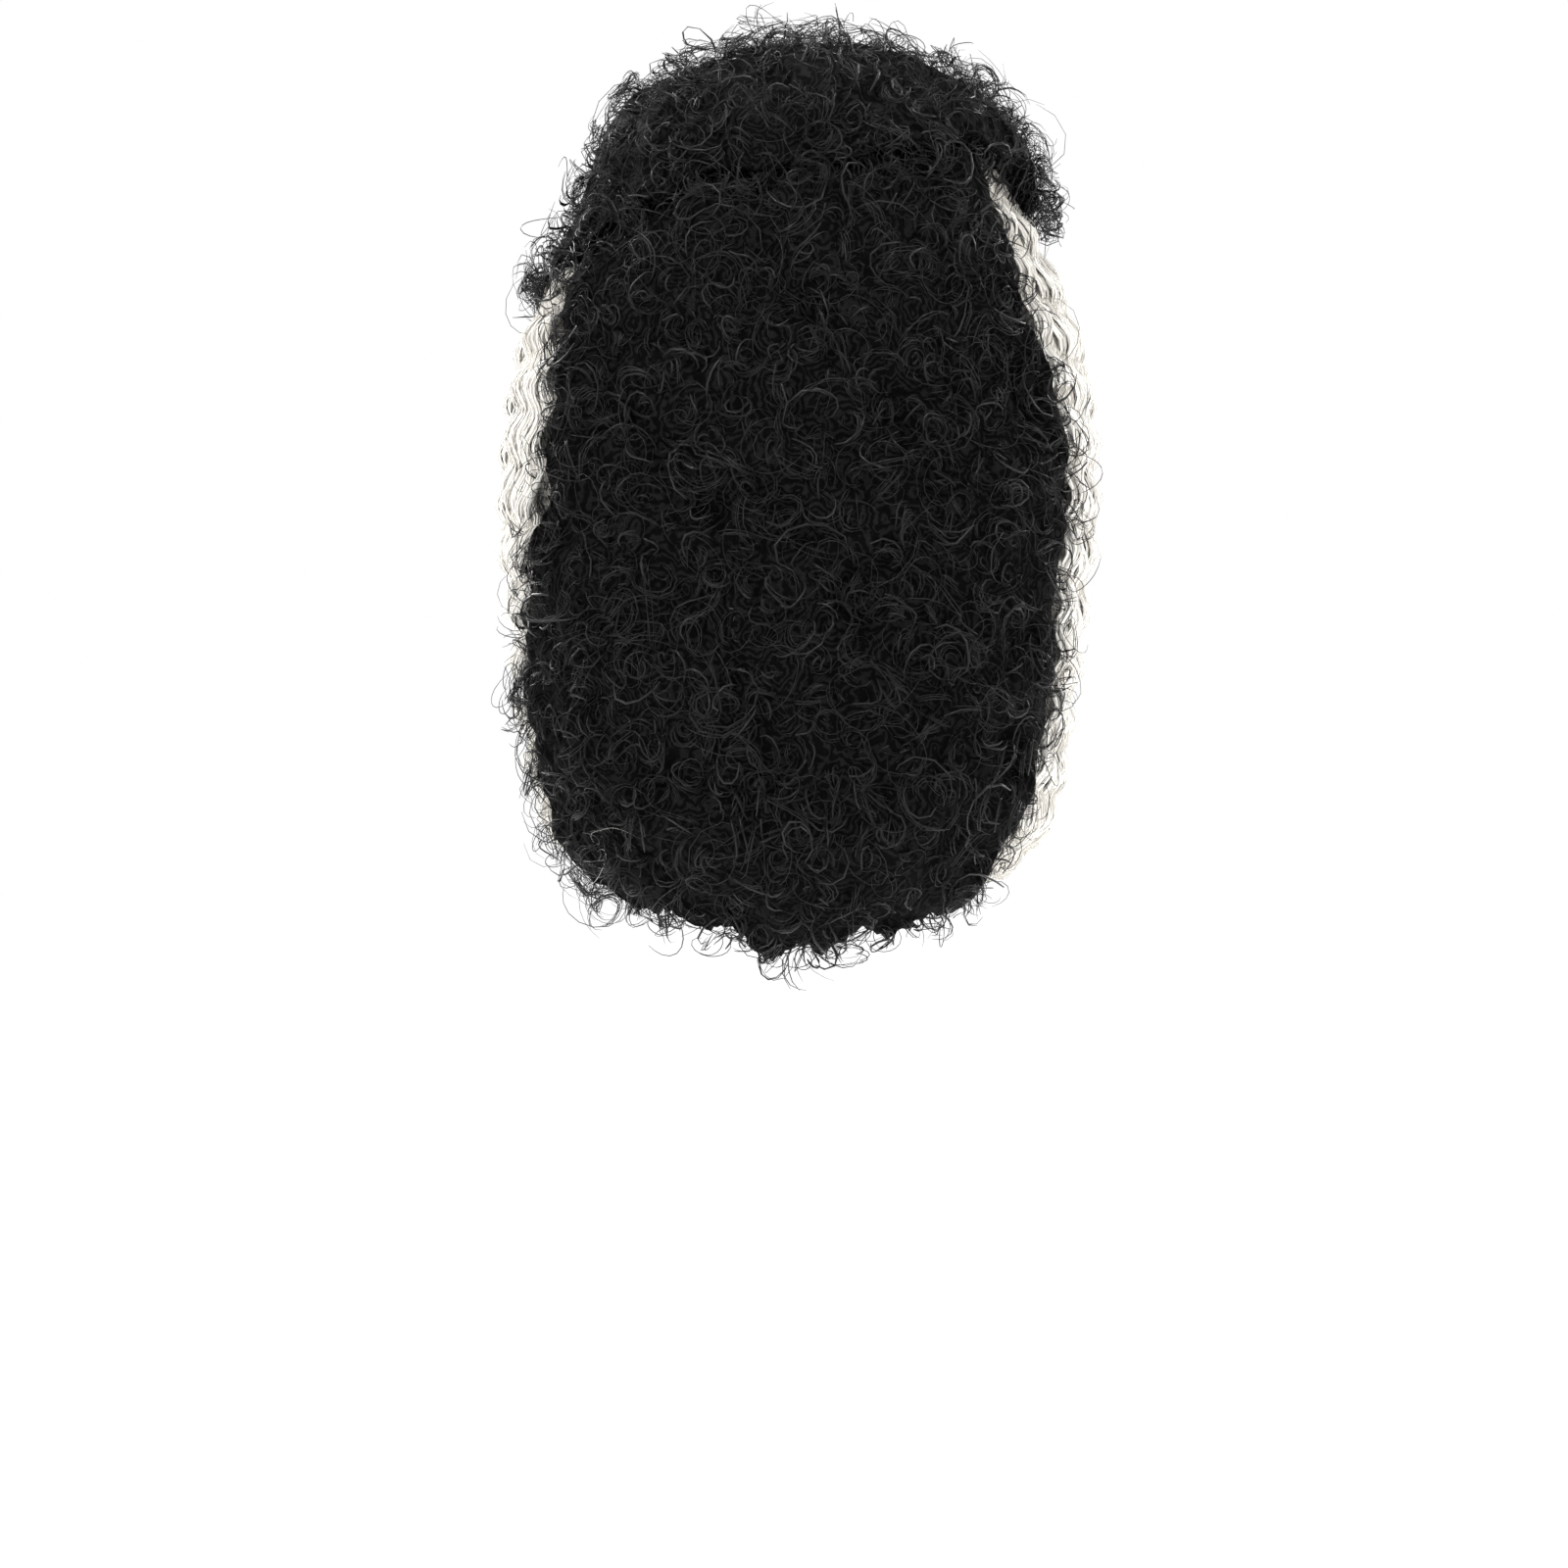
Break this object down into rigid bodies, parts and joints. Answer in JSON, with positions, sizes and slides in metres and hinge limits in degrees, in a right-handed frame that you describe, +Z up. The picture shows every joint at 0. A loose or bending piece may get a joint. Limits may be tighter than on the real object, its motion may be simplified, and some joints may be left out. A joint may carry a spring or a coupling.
{
  "type": "costume wig",
  "caption": "Tall costume wig of tight black curls with pale crimped panels at the sides, built on a net cap that is open at the face and below.",
  "frame": {"origin": "the inside of the cap's crown, where the wig sits on the top of a head", "axes": "+Z up through the crown, the face opening towards -Y, the wearer's left towards +X"},
  "size_m": [0.3703, 0.2953, 0.5648],
  "materials": {
    "wig_cap": "black elastic net, matt",
    "back_hair": "black synthetic hair in tight curls, soft sheen",
    "left_side_hair": "off-white synthetic hair, crimped, soft sheen",
    "right_side_hair": "off-white synthetic hair, crimped, soft sheen",
    "front_hair": "black synthetic hair in tight curls, soft sheen",
    "crown_hair": "black synthetic hair in tight curls, soft sheen"
  },
  "bodies": {
    "root": {"wig_cap": "wig_cap", "back_hair": "back_hair", "left_side_hair": "left_side_hair", "right_side_hair": "right_side_hair", "front_hair": "front_hair", "crown_hair": "crown_hair"}
  },
  "joints": []
}
